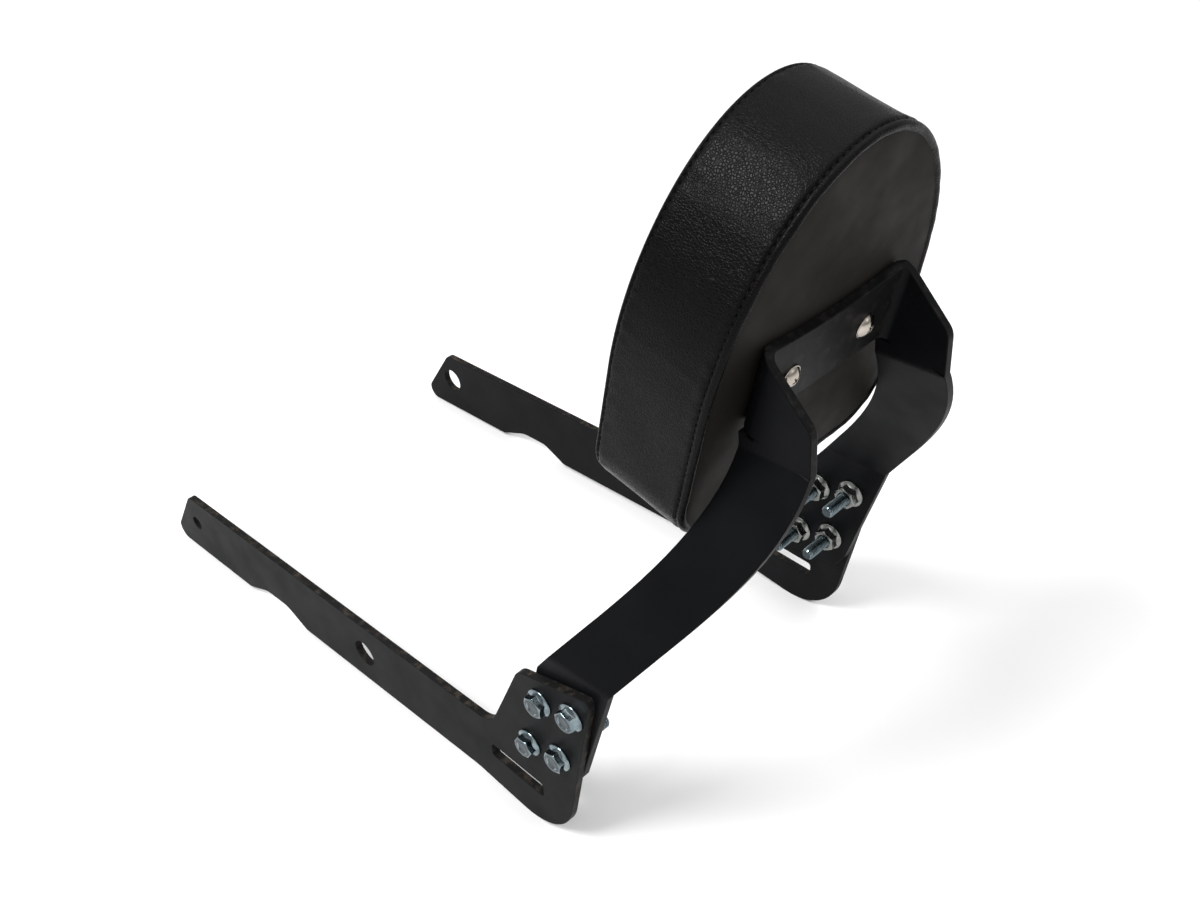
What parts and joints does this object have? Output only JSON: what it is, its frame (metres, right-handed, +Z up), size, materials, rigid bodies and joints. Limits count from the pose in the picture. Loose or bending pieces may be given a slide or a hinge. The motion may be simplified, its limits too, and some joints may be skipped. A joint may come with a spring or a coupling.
{
  "type": "motorcycle backrest",
  "caption": "Rider backrest: D-shaped upholstered pad on a folded sheet-metal bracket, bolted between long slotted side plates that fix to the frame of a motorcycle.",
  "frame": {"origin": "on the ground, under the middle of the object's bounding box, with the object standing on the front tips and the rounded feet of its side plates", "axes": "+X to the rider's left, +Y to the rear (the pad's front and the long arms face -Y), +Z up"},
  "size_m": [0.263, 0.5249, 0.4208],
  "materials": {
    "powder_coat": "satin black powder coat",
    "powder_coat_bracket": "satin black powder coat",
    "zinc": "bright zinc plate with a bluish tint",
    "zinc_nut": "bright zinc plate with a slightly yellow tint",
    "vinyl": "grained black vinyl, stitched",
    "backing": "smooth matt vinyl",
    "foam": "open-cell foam",
    "plywood": "raw plywood",
    "insert_steel": "plain steel",
    "nickel": "nickel plate"
  },
  "bodies": {
    "root": {"left_side_plate": "powder_coat", "right_side_plate": "powder_coat", "folded_bracket": "powder_coat_bracket", "left_flange_bolt_1": "zinc", "left_flange_bolt_2": "zinc", "left_flange_bolt_3": "zinc", "left_flange_bolt_4": "zinc", "right_flange_bolt_1": "zinc", "right_flange_bolt_2": "zinc", "right_flange_bolt_3": "zinc", "right_flange_bolt_4": "zinc", "left_flange_nut_1": "zinc_nut", "left_flange_nut_2": "zinc_nut", "left_flange_nut_3": "zinc_nut", "left_flange_nut_4": "zinc_nut", "right_flange_nut_1": "zinc_nut", "right_flange_nut_2": "zinc_nut", "right_flange_nut_3": "zinc_nut", "right_flange_nut_4": "zinc_nut", "pad_front_cover": "vinyl", "pad_side_band": "vinyl", "pad_back_cover": "backing", "pad_foam": "foam", "pad_board": "plywood", "pad_insert_left": "insert_steel", "pad_insert_right": "insert_steel", "pad_screw_left": "nickel", "pad_screw_right": "nickel"}
  },
  "joints": []
}
